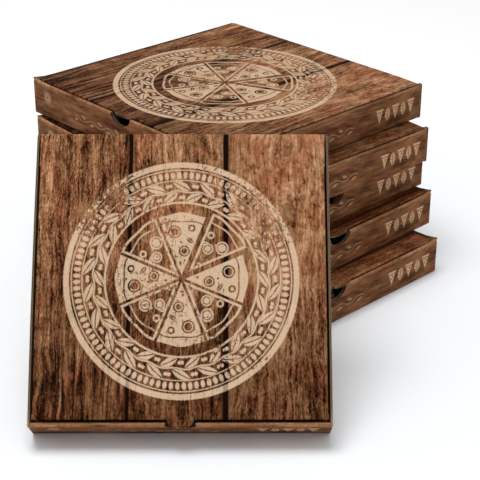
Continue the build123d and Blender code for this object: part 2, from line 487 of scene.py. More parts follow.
    notch_x, depth = notch
    centre = (top_roll + end_roll) / 2
    notch_half = 0.103 * w
    notch_a = half_ellipse(notch_x, centre, notch_half, depth - 0.6 + 0.1, 60, 0, 2 * math.pi)[:-1]
    holes = [notch_a]
    for cx in (-62.0, 62.0):
        y0, y1 = -w + 1.95, -w + 3.95
        holes.append([(cx - 10.4, s_of_base(y0)), (cx + 10.4, s_of_base(y0)), (cx + 10.4, s_of_base(y1)), (cx - 10.4, s_of_base(y1))])
    if part == "tray":
        stop = split
        outline = right + [(w, stop), (-w, stop)] + mirrored(right) + low[1:]
    else:
        # a lid's flap with the tab: the tab lies in the lid's plane, the flap's scoop behind it
        lid_edge = lid_right + flap_right
        # walk: right side up to the flap's end, back along the flap's lower edge to the scoop, round the scoop, the tab, and so on
        # The scoop's cut is a hole between flap and tab.
        far = lid_edge + [(x, s) for x, s in mirrored(lid_edge)]
        if part == "whole":
            outline = right + [(w, back1)] + far + [(-w, back1)] + mirrored(right) + low[1:]
        else:
            outline = [(w, split), (w, back1)] + far + [(-w, back1), (-w, split)]
            holes = []
        slit = [(tab_half + 0.35, lid1 + 0.02)] + [(x, s) for x, s in scoop[1:-1]] + [(-tab_half - 0.35, lid1 + 0.02), (-tab_half, lid1 - 0.1)]
        slit += tab[::-1] + [(tab_half, lid1 - 0.1)]
        holes.append(slit)
    lo_s, hi_s = min(s for _, s in outline), max(s for _, s in outline)
    flat, faces = cut_flat([outline] + holes, columns, [r for r in rows if lo_s - 1e-6 <= r <= hi_s + 1e-6])

    def plain_main(c):
        near_slot = (abs(abs(c[:, 0]) - 62.0) < 11.5) & (c[:, 1] > base0 - 0.9) & (c[:, 1] < base0 + 5.5)
        lock = c[:, 1] < 0.4
        seam = abs(c[:, 1] - split) < 9.5 if part != "whole" else np.zeros(len(c), bool)
        seam &= abs(c[:, 0]) < w - 14
        cut = (c[:, 1] > lid1 - 3.0) & (c[:, 1] < lid1 + 4.0) & ((abs(c[:, 0]) < tab_half + 2) | (abs(c[:, 0]) > flap_half - 2))
        return near_slot | lock | seam | cut

    sheet.add(flat, faces, place_main, paint_main, True, 1, plain_main)

    # side walls and their corner flaps
    up = Path((0.0, HALF), 0)
    up.bend(90, BEND, "low")
    up.run(h - 0.2 - HALF - BEND, "wall")
    q1 = up.s
    arc_q = up.marks["low"][1]
    flap_q0 = arc_q + (T + 0.4) - (HALF + BEND)
    flap_q1 = arc_q + (h - 2.5) - (HALF + BEND)
    corner = w - HALF - T - PLY - BEND       # where a corner flap's bend begins
    quarter = BEND * math.pi / 2
    tip_p = corner + quarter + (w - HALF - BEND) - (w - 46.0)

    if part != "lid":
        wall_end = w - 2.05
        # the upper part of the front end reaches the front wall's face
        front_end = w - 0.05
        tongue_q = q1 - tongue
        one = [(corner, flap_q0 - 0.25), (corner + 0.02, flap_q0), (tip_p - 3, flap_q0), (tip_p, flap_q0 + 7), (tip_p, flap_q1 - 9),
               (tip_p - 6, flap_q1 - 1.5), (corner + 0.02, flap_q1), (corner, flap_q1 + 0.25), (wall_end, flap_q1 + 0.25), (wall_end, q1)]
        outline = [(y, 0.0) for y in base_ys] + [(wall_end - 0.1, arc_q), (wall_end - 0.1, flap_q0 - 0.25)] + one
        other = [(-p, q) for p, q in one[::-1]]
        other = [(-front_end, q1), (-front_end, tongue_q + 1.0), (-front_end + 0.8, tongue_q), (-corner, tongue_q - 0.2), (-corner - 0.02, tongue_q - 0.5),
                 (-tip_p + 6, tongue_q - 1.5), (-tip_p, tongue_q - 9)] + other[6:]
        outline += other + [(-wall_end + 0.1, flap_q0 - 0.25), (-wall_end + 0.1, arc_q)]
        rows_q = list(np.linspace(0, arc_q, 7)) + spaced(arc_q, q1, 8)
        columns_p = base_ys + [s * v for s in (-1, 1) for v in list(np.linspace(corner, corner + quarter, 7)) + spaced(corner + quarter, tip_p, 11)]
        flat, faces = cut_flat([outline], columns_p, rows_q)
        for side in (-1, 1):
            def place_side(p, side=side):
                a, q = p[:, 0], p[:, 1]
                xz = up.at(q)
                flap = (abs(a) > corner) & (q > flap_q0 - 0.12) & (q < np.where(a < 0, tongue_q - 0.35, flap_q1 + 0.12))
                b = np.clip(abs(a) - corner, 0, quarter) / BEND
                x = base_in + xz[:, 0]
                y = a.copy()
                sign = np.sign(a)
                yy = sign * (corner + BEND * np.sin(b))
                over = np.clip(abs(a) - corner - quarter, 0, None)
                xx = x - BEND * (1 - np.cos(b)) - over
                x = np.where(flap, xx, x)
                y = np.where(flap, yy, y)
                return np.column_stack([side * x, y, xz[:, 1]])

            def paint_side(p, c, side=side):
                z = up.at(p[:, 1])[:, 1]
                off = np.where((abs(c[:, 0]) > corner) & (c[:, 1] > flap_q0 - 0.12) & (c[:, 1] < np.where(c[:, 0] < 0, tongue_q - 0.35, flap_q1 + 0.12)), 75.0, 0.0)
                uv = np.column_stack([side * p[:, 0] * kw, (z + off) * kh])
                # painted shade on the inside face of the wall's upper part, seen through the gap beside the lid; only
                # the kraft inside reads it
                rim = np.clip((z - (h - 9)) / 8, 0, 1) * (abs(p[:, 0]) < corner)
                return uv / 100, uv / 100, np.full(len(p), WALL), np.column_stack([0 * rim, 0.75 * rim])

            def plain_side(c):
                return (abs(c[:, 0]) > corner - 2) & (abs(c[:, 0]) < corner + 3) & (c[:, 1] < q1 - 1.2)

            sheet.add(flat, faces, place_side, paint_side, side < 0, 0, plain_side)

    # the lid's side flaps
    if part != "tray":
        down = Path((0.0, 0.0), 0)
        down.bend(90, BEND, "fold")
        down.run(21.6, "flap")
        d1 = down.s
        lean_in = 0.35
        outline = [(y, 0.0) for y in lid_ys] + [(side_y1, BEND * 1.2), (side_y1 - 0.5, d1 - 9), (side_y1 - 9.5, d1),
                                                (side_y0 + 9.5, d1), (side_y0 + 0.5, d1 - 9), (side_y0, BEND * 1.2)]
        fold_end = down.marks["fold"][1]
        flat, faces = cut_flat([outline], lid_ys, list(np.linspace(0, fold_end, 7)) + spaced(fold_end, d1, 8))
        for side in (-1, 1):
            def place_flap(p, side=side):
                xz = down.at(p[:, 1])
                inwards = lean_in * np.clip(p[:, 1] / d1, 0, 1) ** 2
                return np.column_stack([side * (lid_in + xz[:, 0] - inwards), p[:, 0], h - HALF - xz[:, 1]])

            def paint_flap(p, c, side=side):
                uv, art = lid_print(side * (lid_in + p[:, 1]), p[:, 0])
                # painted shade where the flap turns down beside the side wall
                return uv / 100, art / 100, np.full(len(p), LID), shade_and_tint(p[:, 1] - 0.8)

            sheet.add(flat, faces, place_flap, paint_flap, side > 0, 0)

    # Tint of the open edges. On the stacked boxes they are brown, partly their own colour and partly painted shade. The
    # raw wall tops are darker still, painted shade beside the lid, and the inner ply at the notch is lighter. On the
    # leaning box's tray, the front wall's notch edges are painted black as shade.
    def tint(q):
        if w > 130:
            inner = -w + 1.75 < q[1] < -w + 4.2 and abs(q[0] - notch_x) < notch_half + 1 and q[2] > h - depth - 3
            raw_top = abs(q[0]) > w - 1.75 and q[2] > h - 2.5 and abs(q[1]) < w - 4
            return 0.25 if inner else 1.45 if raw_top else 1.0
        return 2.0 if abs(q[0]) < notch_half + 1 and q[1] < -w + 6 and part == "tray" else 0.0

    if part == "whole" and not wave_all:
        return thicken(sheet, lambda q: q[2] > h - 3 or abs(q[0]) > w - 1.5 or q[1] < -w + 1.5, tint)
    return thicken(sheet, lambda q: True, tint)


# ------------------------------------------------------------------ bows and dents
def bow(co, w, h, seed, sag, wall_out, corners, name):
    """Small bends of the real board, in the box's own frame (mm). corners are (x sign, y sign, dip of the lid, rise of the wall ends)."""
    rng = np.random.default_rng(seed)
    x, y, z = co[:, 0] / w, co[:, 1] / w, co[:, 2] / h
    out = co.copy()
    top = np.clip((z - 0.9) / 0.1, 0, 1)
    inner = np.clip(1 - x * x, 0, 1) * np.clip(1 - y * y, 0, 1)
    out[:, 2] -= sag * top * inner
    # a slow ripple of the lid
    for _ in range(4):
        fx, fy = rng.uniform(1.0, 3.2, 2)
        px, py = rng.uniform(0, 6.28, 2)
        out[:, 2] += 0.10 * top * inner * np.sin(fx * x * 3 + px) * np.sin(fy * y * 3 + py)
    # walls bow outward between the corners, most at mid height and at the raw top
    shape = np.sin(np.clip(z, 0, 1) * math.pi * 0.62)
    a, b, c, d = wall_out
    out[:, 0] += (a * (x > 0.5) - b * (x < -0.5)) * np.clip(1 - y * y, 0, 1) * shape * np.clip((abs(x) - 0.5) * 2, 0, 1)
    out[:, 1] += (c * (y > 0.5) - d * (y < -0.5)) * np.clip(1 - x * x, 0, 1) * shape * np.clip((abs(y) - 0.5) * 2, 0, 1)
    # the tops of the walls stand a little lower between the corners
    side = abs(co[:, 0]) > w - 1.75
    front = (co[:, 1] < -w + 3.55) & ~side
    high = np.clip((co[:, 2] - (h - 9)) / 8, 0, 1)
    out[:, 2] -= 0.4 * high * side * (1 - abs(y) ** 8) + 0.35 * high * front * (1 - abs(x) ** 8)
    # a front wall that splays outward, and the crushed lower edge that the box stands on
    if name == "leaning_box_tray_board":
        y0, z0 = co[:, 1], np.clip(co[:, 2] / h, 0, 1)
        near = np.clip((-w + 14 - y0) / 10, 0, 1)
        out[:, 1] -= near * (1.5 + 1.9 * (1 - z0))
        out[:, 2] += 4.0 * (1 - z0) * np.clip((-w + 50 - y0) / 50, 0, 1) ** 2
    # a box that isn't quite square: its left-hand front corner is drawn outward
    if name == "second_box_board":
        pull = np.clip((-x - 0.25) / 0.75, 0, 1) ** 1.3 * np.clip((0.3 - y) / 1.3, 0, 1)
        out[:, 0] -= 8.0 * pull
        out[:, 1] += 3.2 * pull
    # at the corners the lid dips and the ends of the walls stand proud
    lid = ~side & ~front & (co[:, 2] > h - 5)
    for sx, sy, dip, rise in corners:
        d = np.hypot(co[:, 0] - sx * w, co[:, 1] - sy * w)
        out[:, 2] -= dip * lid * np.exp(-(d / 22) ** 2)
        out[:, 2] += rise * high * (side | front) * (0.3 * np.exp(-(d / 13) ** 2) + 0.7 * np.exp(-(d / 5) ** 2))
    return out


# ------------------------------------------------------------------ node helpers
TREE = None


class Ex:
    """A value in the node tree. Arithmetic on it makes Math nodes."""

    def __init__(self, socket):
        self.s = socket

    def __add__(self, o): return calc("ADD", self, o)
    def __radd__(self, o): return calc("ADD", self, o)
    def __sub__(self, o): return calc("SUBTRACT", self, o)
    def __rsub__(self, o): return calc("SUBTRACT", o, self)
    def __mul__(self, o): return calc("MULTIPLY", self, o)
    def __rmul__(self, o): return calc("MULTIPLY", self, o)
    def __truediv__(self, o): return calc("DIVIDE", self, o)
    def __rtruediv__(self, o): return calc("DIVIDE", o, self)
    def __neg__(self): return calc("MULTIPLY", self, -1.0)


def plug(value, socket):
    if isinstance(value, Ex):
        TREE.links.new(value.s, socket)
    elif value is not None:
        socket.default_value = value


def calc(op, *args, clamp=False):
    n = TREE.nodes.new("ShaderNodeMath")
    n.operation = op
    n.use_clamp = clamp
    for i, a in enumerate(args):
        plug(a, n.inputs[i])
    return Ex(n.outputs[0])


def absolute(a): return calc("ABSOLUTE", a)
def least(*a):
    out = a[0]
    for b in a[1:]:
        out = calc("MINIMUM", out, b)
    return out
def most(*a):
    out = a[0]
    for b in a[1:]:
        out = calc("MAXIMUM", out, b)
    return out
def fract(a): return calc("FRACT", a)
def root(a): return calc("SQRT", a)
def sine(a): return calc("SINE", a)
def cosine(a): return calc("COSINE", a)
def mad(a, b, c): return calc("MULTIPLY_ADD", a, b, c)
def over(a, b): return calc("GREATER_THAN", a, b)
def clamp(a): return calc("ADD", a, 0.0, clamp=True)


def pack(x, y, z=0.0):
    n = TREE.nodes.new("ShaderNodeCombineXYZ")
    for v, s in zip((x, y, z), n.inputs):
        plug(v, s)
    return Ex(n.outputs[0])


def length2(x, y):
    n = TREE.nodes.new("ShaderNodeVectorMath")
    n.operation = "LENGTH"
    plug(pack(x, y), n.inputs[0])
    return Ex(n.outputs["Value"])


def smooth(value, a, b, lo=0.0, hi=1.0):
    n = TREE.nodes.new("ShaderNodeMapRange")
    n.interpolation_type = "SMOOTHSTEP"
    plug(value, n.inputs["Value"])
    n.inputs["From Min"].default_value = a
    n.inputs["From Max"].default_value = b
    n.inputs["To Min"].default_value = lo
    n.inputs["To Max"].default_value = hi
    return Ex(n.outputs["Result"])


def lerp(f, a, b):
    n = TREE.nodes.new("ShaderNodeMix")
    n.data_type = "FLOAT"
    plug(f, n.inputs[0]); plug(a, n.inputs[2]); plug(b, n.inputs[3])
    return Ex(n.outputs[0])


def blend_colour(f, a, b, mode="MIX"):
    n = TREE.nodes.new("ShaderNodeMix")
    n.data_type = "RGBA"
    n.blend_type = mode
    plug(f, n.inputs[0])
    for v, s in ((a, n.inputs[6]), (b, n.inputs[7])):
        if isinstance(v, Ex):
            TREE.links.new(v.s, s)
        else:
            s.default_value = linear(v)
    return Ex(n.outputs[2])


def linear(rgb):
    """An sRGB colour of 0 to 255 as the linear values that Blender's sockets hold."""
    out = []
    for c in rgb:
        c = c / 255
        out.append(c / 12.92 if c <= 0.04045 else ((c + 0.055) / 1.055) ** 2.4)
    return (*out, 1.0)


def ramp(value, stops):
    n = TREE.nodes.new("ShaderNodeValToRGB")
    plug(value, n.inputs[0])
    e = n.color_ramp.elements
    while len(e) < len(stops):
        e.new(0.5)
    for i, (at, rgb) in enumerate(stops):
        e[i].position = at
        e[i].color = linear(rgb)
    return Ex(n.outputs[0])


def noise(x, y, z=0.0, detail=2.0, rough=0.5, distortion=0.0):
    n = TREE.nodes.new("ShaderNodeTexNoise")
    n.noise_dimensions = "3D"
    plug(pack(x, y, z), n.inputs["Vector"])
    n.inputs["Scale"].default_value = 1.0
    n.inputs["Detail"].default_value = detail
    n.inputs["Roughness"].default_value = rough
    n.inputs["Distortion"].default_value = distortion
    return Ex(n.outputs[0])


def uv_of(name):
    n = TREE.nodes.new("ShaderNodeUVMap")
    n.uv_map = name
    s = TREE.nodes.new("ShaderNodeSeparateXYZ")
    TREE.links.new(n.outputs[0], s.inputs[0])
    return Ex(s.outputs[0]) * 100.0, Ex(s.outputs[1]) * 100.0


def new_material(name):
    global TREE
    mat = bpy.data.materials.new(name)
    mat.use_nodes = True
    TREE = mat.node_tree
    TREE.nodes.clear()
    out = TREE.nodes.new("ShaderNodeOutputMaterial")
    shader = TREE.nodes.new("ShaderNodeBsdfPrincipled")
    TREE.links.new(shader.outputs[0], out.inputs[0])
    return mat, shader


def bump(height, shader, strength, distance):
    n = TREE.nodes.new("ShaderNodeBump")
    n.inputs["Strength"].default_value = strength
    n.inputs["Distance"].default_value = distance
    plug(height, n.inputs["Height"])
    TREE.links.new(n.outputs[0], shader.inputs["Normal"])


# ------------------------------------------------------------------ the printed wood
WOOD = [(0.0, (24, 9, 4)), (0.16, (52, 27, 14)), (0.34, (94, 58, 35)), (0.50, (129, 86, 56)), (0.66, (155, 108, 74)), (0.83, (180, 133, 97)), (1.0, (208, 166, 130))]


def grain(across, along, seed, mottle, streak, bands):
    """Tone of the wood, 0.5 in the middle: short streaks and specks, longer streaks, broad bands."""
    short = noise(across * 0.62, along * 0.078, seed, detail=4.0, rough=0.70)
    specks = noise(across * 0.95, along * 0.36, seed + 37.1, detail=2.0, rough=0.6)
    lines = noise(across * 0.34, along * 0.015, seed + 11.3, detail=3.0, rough=0.55)
    patches = noise(across * 0.12, along * 0.048, seed + 51.7, detail=4.0, rough=0.62)
    broad = noise(across * 0.05, along * 0.006, seed + 23.9, detail=1.0)
    tone = mad(short - 0.5, mottle, 0.5)
    tone = mad(specks - 0.5, mottle * 0.86, tone)
    tone = mad(lines - 0.5, streak * 1.15, tone)
    tone = mad(patches - 0.5, bands * 1.35, tone)
    return mad(broad - 0.5, bands * 0.8, tone)


def lid_wood(u, v):
    """Colour of the planked print at u across and v along the planks (mm)."""
    first = over(-44.75, u)
    third = over(u, 37.75)
    plank = 1.0 - first + third          # 0, 1, 2
    drift = noise(u * 0.011, v * 0.0042, plank * 5.7 + 2.0, detail=1.0)
    wander = noise(u * 0.045, v * 0.021, plank * 3.1 + 8.0, detail=2.0)
    x = mad(drift - 0.5, 26.0, u)
    x = mad(wander - 0.5, lerp(third, 8.0, 13.0), x)
    # the grain parts round a knot on the right-hand plank, and more weakly on the left-hand one
    rx = x - 90.0
    ry = (v - 90.0) / 27.0
    hump = calc("EXPONENT", ry * ry * -1.0)
    right = rx * (absolute(rx) / root(mad(rx, rx, mad(hump, 210.0, 0.01))))
    lx = x + 92.0
    ly = (v + 48.0) / 34.0
    hump2 = calc("EXPONENT", ly * ly * -1.0)
    left = lx * (absolute(lx) / root(mad(lx, lx, mad(hump2, 60.0, 0.01))))
    x = lerp(third, lerp(first, x, left), right)
    seed = plank * 7.31
    low = smooth(v, 70.0, -100.0)
    mottle = lerp(third, lerp(first, mad(low, 0.35, 1.20), 1.26), mad(low, 1.05, 0.68))
    streak = lerp(third, lerp(first, mad(low, 0.40, 0.85), mad(low, 0.70, 0.95)), mad(low, 1.10, 0.55))
    tone = grain(x, v, seed, mottle, streak, lerp(third, 0.80, mad(low, 0.35, 0.62)))
    tone = tone + lerp(third, lerp(first, mad(low, -0.015, 0.10), mad(low, -0.07, 0.085)), mad(low, -0.032, 0.252))
    # dark streaks that run some way: many on the left-hand plank, a few elsewhere
    dark = noise(x * 0.36, v * 0.011, seed + 3.3, detail=2.0, rough=0.6)
    tone = mad(smooth(dark, 0.57, 0.70), lerp(first, -0.20, mad(low, -0.16, -0.20)), tone)
    # dark flecks
    fleck = noise(x * 0.62, v * 0.17, seed + 91.0, detail=2.0, rough=0.6)
    tone = mad(smooth(fleck, 0.59, 0.70), lerp(third, -0.32, -0.22), tone)
    # blots and short bent marks around the knots of the right-hand plank
    bent = noise(u * 0.15, v * 0.10, 58.0, detail=3.0, rough=0.7)
    around = smooth(absolute(v - 72.0), 66.0, 16.0) * third
    tone = mad(smooth(bent, 0.505, 0.61) * around, -0.25, tone)
    tone = mad(smooth(bent, 0.48, 0.38) * around, 0.075, tone)
    # knot
    knot = smooth(length2(u - 89.0, (v - 92.0) * 0.6), 6.5, 1.2)
    tone = mad(knot, -0.12, tone)
    colour = ramp(clamp(tone), WOOD)
    # the planks darken toward the lower end
    shade = noise(u * 0.03, v * 0.016, 66.0, detail=2.0)
    fall = smooth(mad(shade - 0.5, 90.0, v), 75.0, -125.0)
    colour = blend_colour(fall * lerp(first, 0.98, 0.80), colour, (168, 155, 141), "MULTIPLY")
    # warm and cool patches of the print
    hue = noise(u * 0.035, v * 0.028, 77.0, detail=2.0)
    colour = blend_colour(smooth(hue, 0.44, 0.66) * 0.38, colour, (152, 84, 60), "OVERLAY")
    colour = blend_colour(smooth(hue, 0.48, 0.30) * 0.38, colour, (116, 110, 66), "OVERLAY")
    # gaps between the planks, with a worn arris beside them
    edge = noise(v * 0.05, 4.0, 9.0, detail=3.0, rough=0.65) - 0.5
    g1 = absolute(mad(edge, 2.6, u + 44.75)) - mad(edge, 1.6, 1.55)
    g2 = absolute(mad(edge, -2.8, u - 37.75)) - mad(edge, -1.8, 2.1)
    near = least(g1, g2)
    colour = blend_colour(smooth(near, 3.6, 0.0) * 0.62, colour, (40, 20, 10), "MIX")
    lit = least(absolute(u - 41.0), absolute(u + 42.4)) - 0.5
    colour = blend_colour(smooth(lit, 0.6, 0.0) * smooth(edge, -0.1, 0.12) * 0.4, colour, (170, 120, 86), "MIX")
    gap = smooth(near, 0.45, -0.25)
    colour = blend_colour(gap, colour, (22, 6, 1), "MIX")
    return colour, tone, gap


def emblem(u, v):
    """Distance (in units of the emblem's radius) to the inked shapes: rings, beads, a wreath and a sliced pie. Negative is ink."""
    x, y = u / 103.0, v / 103.0
    r = length2(x, y)
    th = calc("ARCTAN2", y, x)
    rings = absolute(r - 0.976) - 0.024
    rings = least(rings, absolute(r - 0.932) - 0.0045)
    rings = least(rings, absolute(r - 0.842) - 0.0045, absolute(r - 0.650) - 0.0085)
    # beads
    cell = 2 * math.pi * 0.887 / 104
    bx = (fract(th * (104 / (2 * math.pi))) - 0.5) * cell
    beads = length2(bx, (r - 0.887) * 0.62) - 0.0185
    # wreath
    count = 22
    width = 2 * math.pi * 0.746 / count
    ry = r - 0.746
    turn = th * (count / (2 * math.pi))
    shift = lerp(over(ry, 0.0), 0.5, 0.0)
    cx = (fract(turn + shift) - 0.5) * width
    ly = absolute(ry) - 0.047
    ca, sa = math.cos(math.radians(30)), math.sin(math.radians(30))
    lx, lyy = mad(cx, ca, ly * sa), mad(ly, ca, cx * -sa)
    lq = lx / 0.088
    leaf = mad(lq * lq, 0.034, absolute(lyy)) - 0.034
    leaf = most(leaf, 0.0045 - absolute(lyy))
    stem = absolute(mad(sine(turn * (2 * math.pi)), 0.008, ry)) - 0.0065
    berry = length2(absolute(cx) - 0.094, absolute(ry) - 0.050) - 0.0155
    wreath = least(leaf, stem, berry)
    # the pie, one slice drawn out a little
    px, py = x - 0.040, y - 0.040
    pa = absolute(calc("ARCTAN2", py, px) - math.pi / 4)
    drawn = over(math.pi / 8, pa)
    gone = over(math.pi / 8, absolute(th - math.pi / 4)) * (1.0 - drawn)
    qx, qy = lerp(drawn, x, px), lerp(drawn, y, py)
    qr = length2(qx, qy)
    qt = mad(calc("ARCTAN2", qy, qx), 4 / math.pi, 0.5)
    a = (fract(qt) - 0.5) * (math.pi / 4)
    odd = fract(calc("FLOOR", qt) * 0.5) * 2.0
    sx, sy = qr * cosine(a), qr * sine(a)
    side = qr * sine(math.pi / 8 - absolute(a))
    wave = sine(qt * (math.pi * 2 * 1.5)) * 0.006
    slices = most(0.0115 - side, qr - 0.560 + wave)
    crust = 0.006 - absolute(qr - 0.492 - wave)
    ty = sy * (1.0 - odd * 2.0)
    d1 = length2(mad(odd, 0.030, sx - 0.400), ty - 0.060)
    d2 = length2(mad(odd, -0.045, sx - 0.235), ty + 0.022)
    d3 = absolute(length2(mad(odd, 0.05, sx - 0.430), ty + 0.085) - 0.024) - 0.008
    top1 = most(d1 - 0.056, 0.0045 - absolute(d1 - 0.038))
    top2 = most(d2 - 0.047, 0.0045 - absolute(d2 - 0.030))
    kx, ky = mad(odd, 0.03, sx - 0.325), ty + 0.072
    mx, my = mad(kx, 0.6, ky * 0.8), mad(ky, 0.6, kx * -0.8)
    mq = mx / 0.042
    basil = most(mad(mq * mq, 0.018, absolute(my)) - 0.018, 0.003 - absolute(my))
    small = length2(sx - 0.135, ty - 0.012) - 0.011
    dots = length2(mad(odd, -0.04, sx - 0.31), ty - 0.005) - 0.009
    cuts = least(top1, top2, d3, basil, small, dots)
    # every other slice is left bare, with an inked outline and inked toppings
    full = most(slices, crust, cuts * -1.0)
    bare = most(slices, least(absolute(slices + 0.010) - 0.010, crust * -1.0, cuts))
    pie = most(lerp(odd, full, bare), gone * 2.0 - 1.0)
    return least(rings, beads, wreath, pie), r, th


def printed_lid():
    mat, shader = new_material("printed_lid")
    u, v = uv_of("print")
    au, av = uv_of("art")
    colour, tone, gap = lid_wood(u, v)
    d, r, th = emblem(au, av + 3.0)
    rag = noise(au * 0.75, av * 0.75, 5.0, detail=3.0, rough=0.7)
    d = mad(rag - 0.5, 0.014, d)
    ink = calc("MULTIPLY_ADD", d, -1 / 0.0075, 0.5, clamp=True)
    # worn ink: fine speckle in patches, and scrapes along the grain
    speck = noise(au * 0.30, av * 0.26, 13.0, detail=6.0, rough=0.74)
    patch = noise(au * 0.022, av * 0.022, 31.4, detail=2.0)
    left = smooth(length2(au + 78.0, av - 62.0), 46.0, 8.0)
    right = smooth(length2(au - 80.0, av - 46.0), 50.0, 6.0)
    low = smooth(length2(au - 62.0, av + 66.0), 40.0, 8.0)
    rim = smooth(r, 0.80, 0.99)
    wear = mad(left * mad(rim, 0.35, 0.65), 0.20, mad(right, 0.145, mad(low, 0.07, (patch - 0.5) * 0.55)))
    lost = smooth(speck + wear, 0.605, 0.645)
    scrape = noise(au * 0.50, av * 0.055, 41.0, detail=2.0, rough=0.6)
    lost = most(lost, smooth(scrape + wear * 0.6, 0.67, 0.72))
    ink = ink * (1.0 - lost * 0.92)
    # ink is thinner over the dark gaps, most at the ring's rim, and a little thinner everywhere
    open_gap = gap * smooth(noise(v * 0.06, 7.0, 5.0, detail=2.0), 0.40, 0.54)
    ink = ink * lerp(open_gap, 0.97, mad(rim, -0.5, 0.95))
    cream = ramp(noise(au * 0.02, av * 0.02, 3.0, detail=2.0), [(0.35, (217, 186, 157)), (0.5, (213, 183, 152)), (0.65, (209, 179, 145))])
    dust = noise(au * 0.4, av * 0.4, 17.0, detail=4.0, rough=0.75)
    cream = blend_colour(smooth(dust, 0.48, 0.66) * 0.26, cream, (150, 112, 80), "MIX")
    cream = blend_colour(smooth(tone, 0.62, 0.84) * 0.35, cream, (226, 194, 164), "MIX")
    cream = blend_colour(smooth(tone, 0.42, 0.08) * 0.30, cream, (120, 84, 56), "MIX")
    colour = blend_colour(ink, colour, cream, "MIX")
    # two lids are darker (above 0): the top one's print, and on the second box's lid a painted shadow from the top box;
    # two others darker and plainer (below 0)
    _, shade = uv_of("shade_and_tint")
    colour = blend_colour(clamp(shade), colour, (148, 136, 118), "MULTIPLY")
    colour = blend_colour(clamp(shade * -1.0), colour, (92, 47, 21), "MIX")
    colour = add_painted_gap_shade(colour)
    finish_board(shader, colour, u, v, tone, ink)
    return mat


def add_painted_gap_shade(colour):
    """Painted shade: the board is darkened where it turns down into the gap beside a fold."""
    dim, _ = uv_of("shade_and_tint")
    return blend_colour(clamp(dim * 0.01) * 0.85, colour, (26, 15, 9), "MIX")


def finish_board(shader, colour, u, v, tone, ink):
    """Sheen and fine relief of printed board: the liner's faint washboard, paper fibres, a little grain."""
    TREE.links.new(colour.s, shader.inputs["Base Color"])
    grainy = noise(u * 3.0, v * 3.0, 1.0, detail=3.0, rough=0.7)
    board = sine(v * (2 * math.pi / FLUTE))
    rough = mad(grainy - 0.5, 0.16, 0.60)
    if tone is not None:
        rough = mad(clamp(tone), 0.06, rough)
    plug(rough, shader.inputs["Roughness"])
    shader.inputs["Specular IOR Level"].default_value = 0.03
    height = mad(board, 0.35, grainy * 0.7)
    if tone is not None:
        height = mad(clamp(tone), 0.5, height)
    if ink is not None:
        height = mad(ink, 0.25, height)
    bump(height, shader, 0.35, 0.00012)


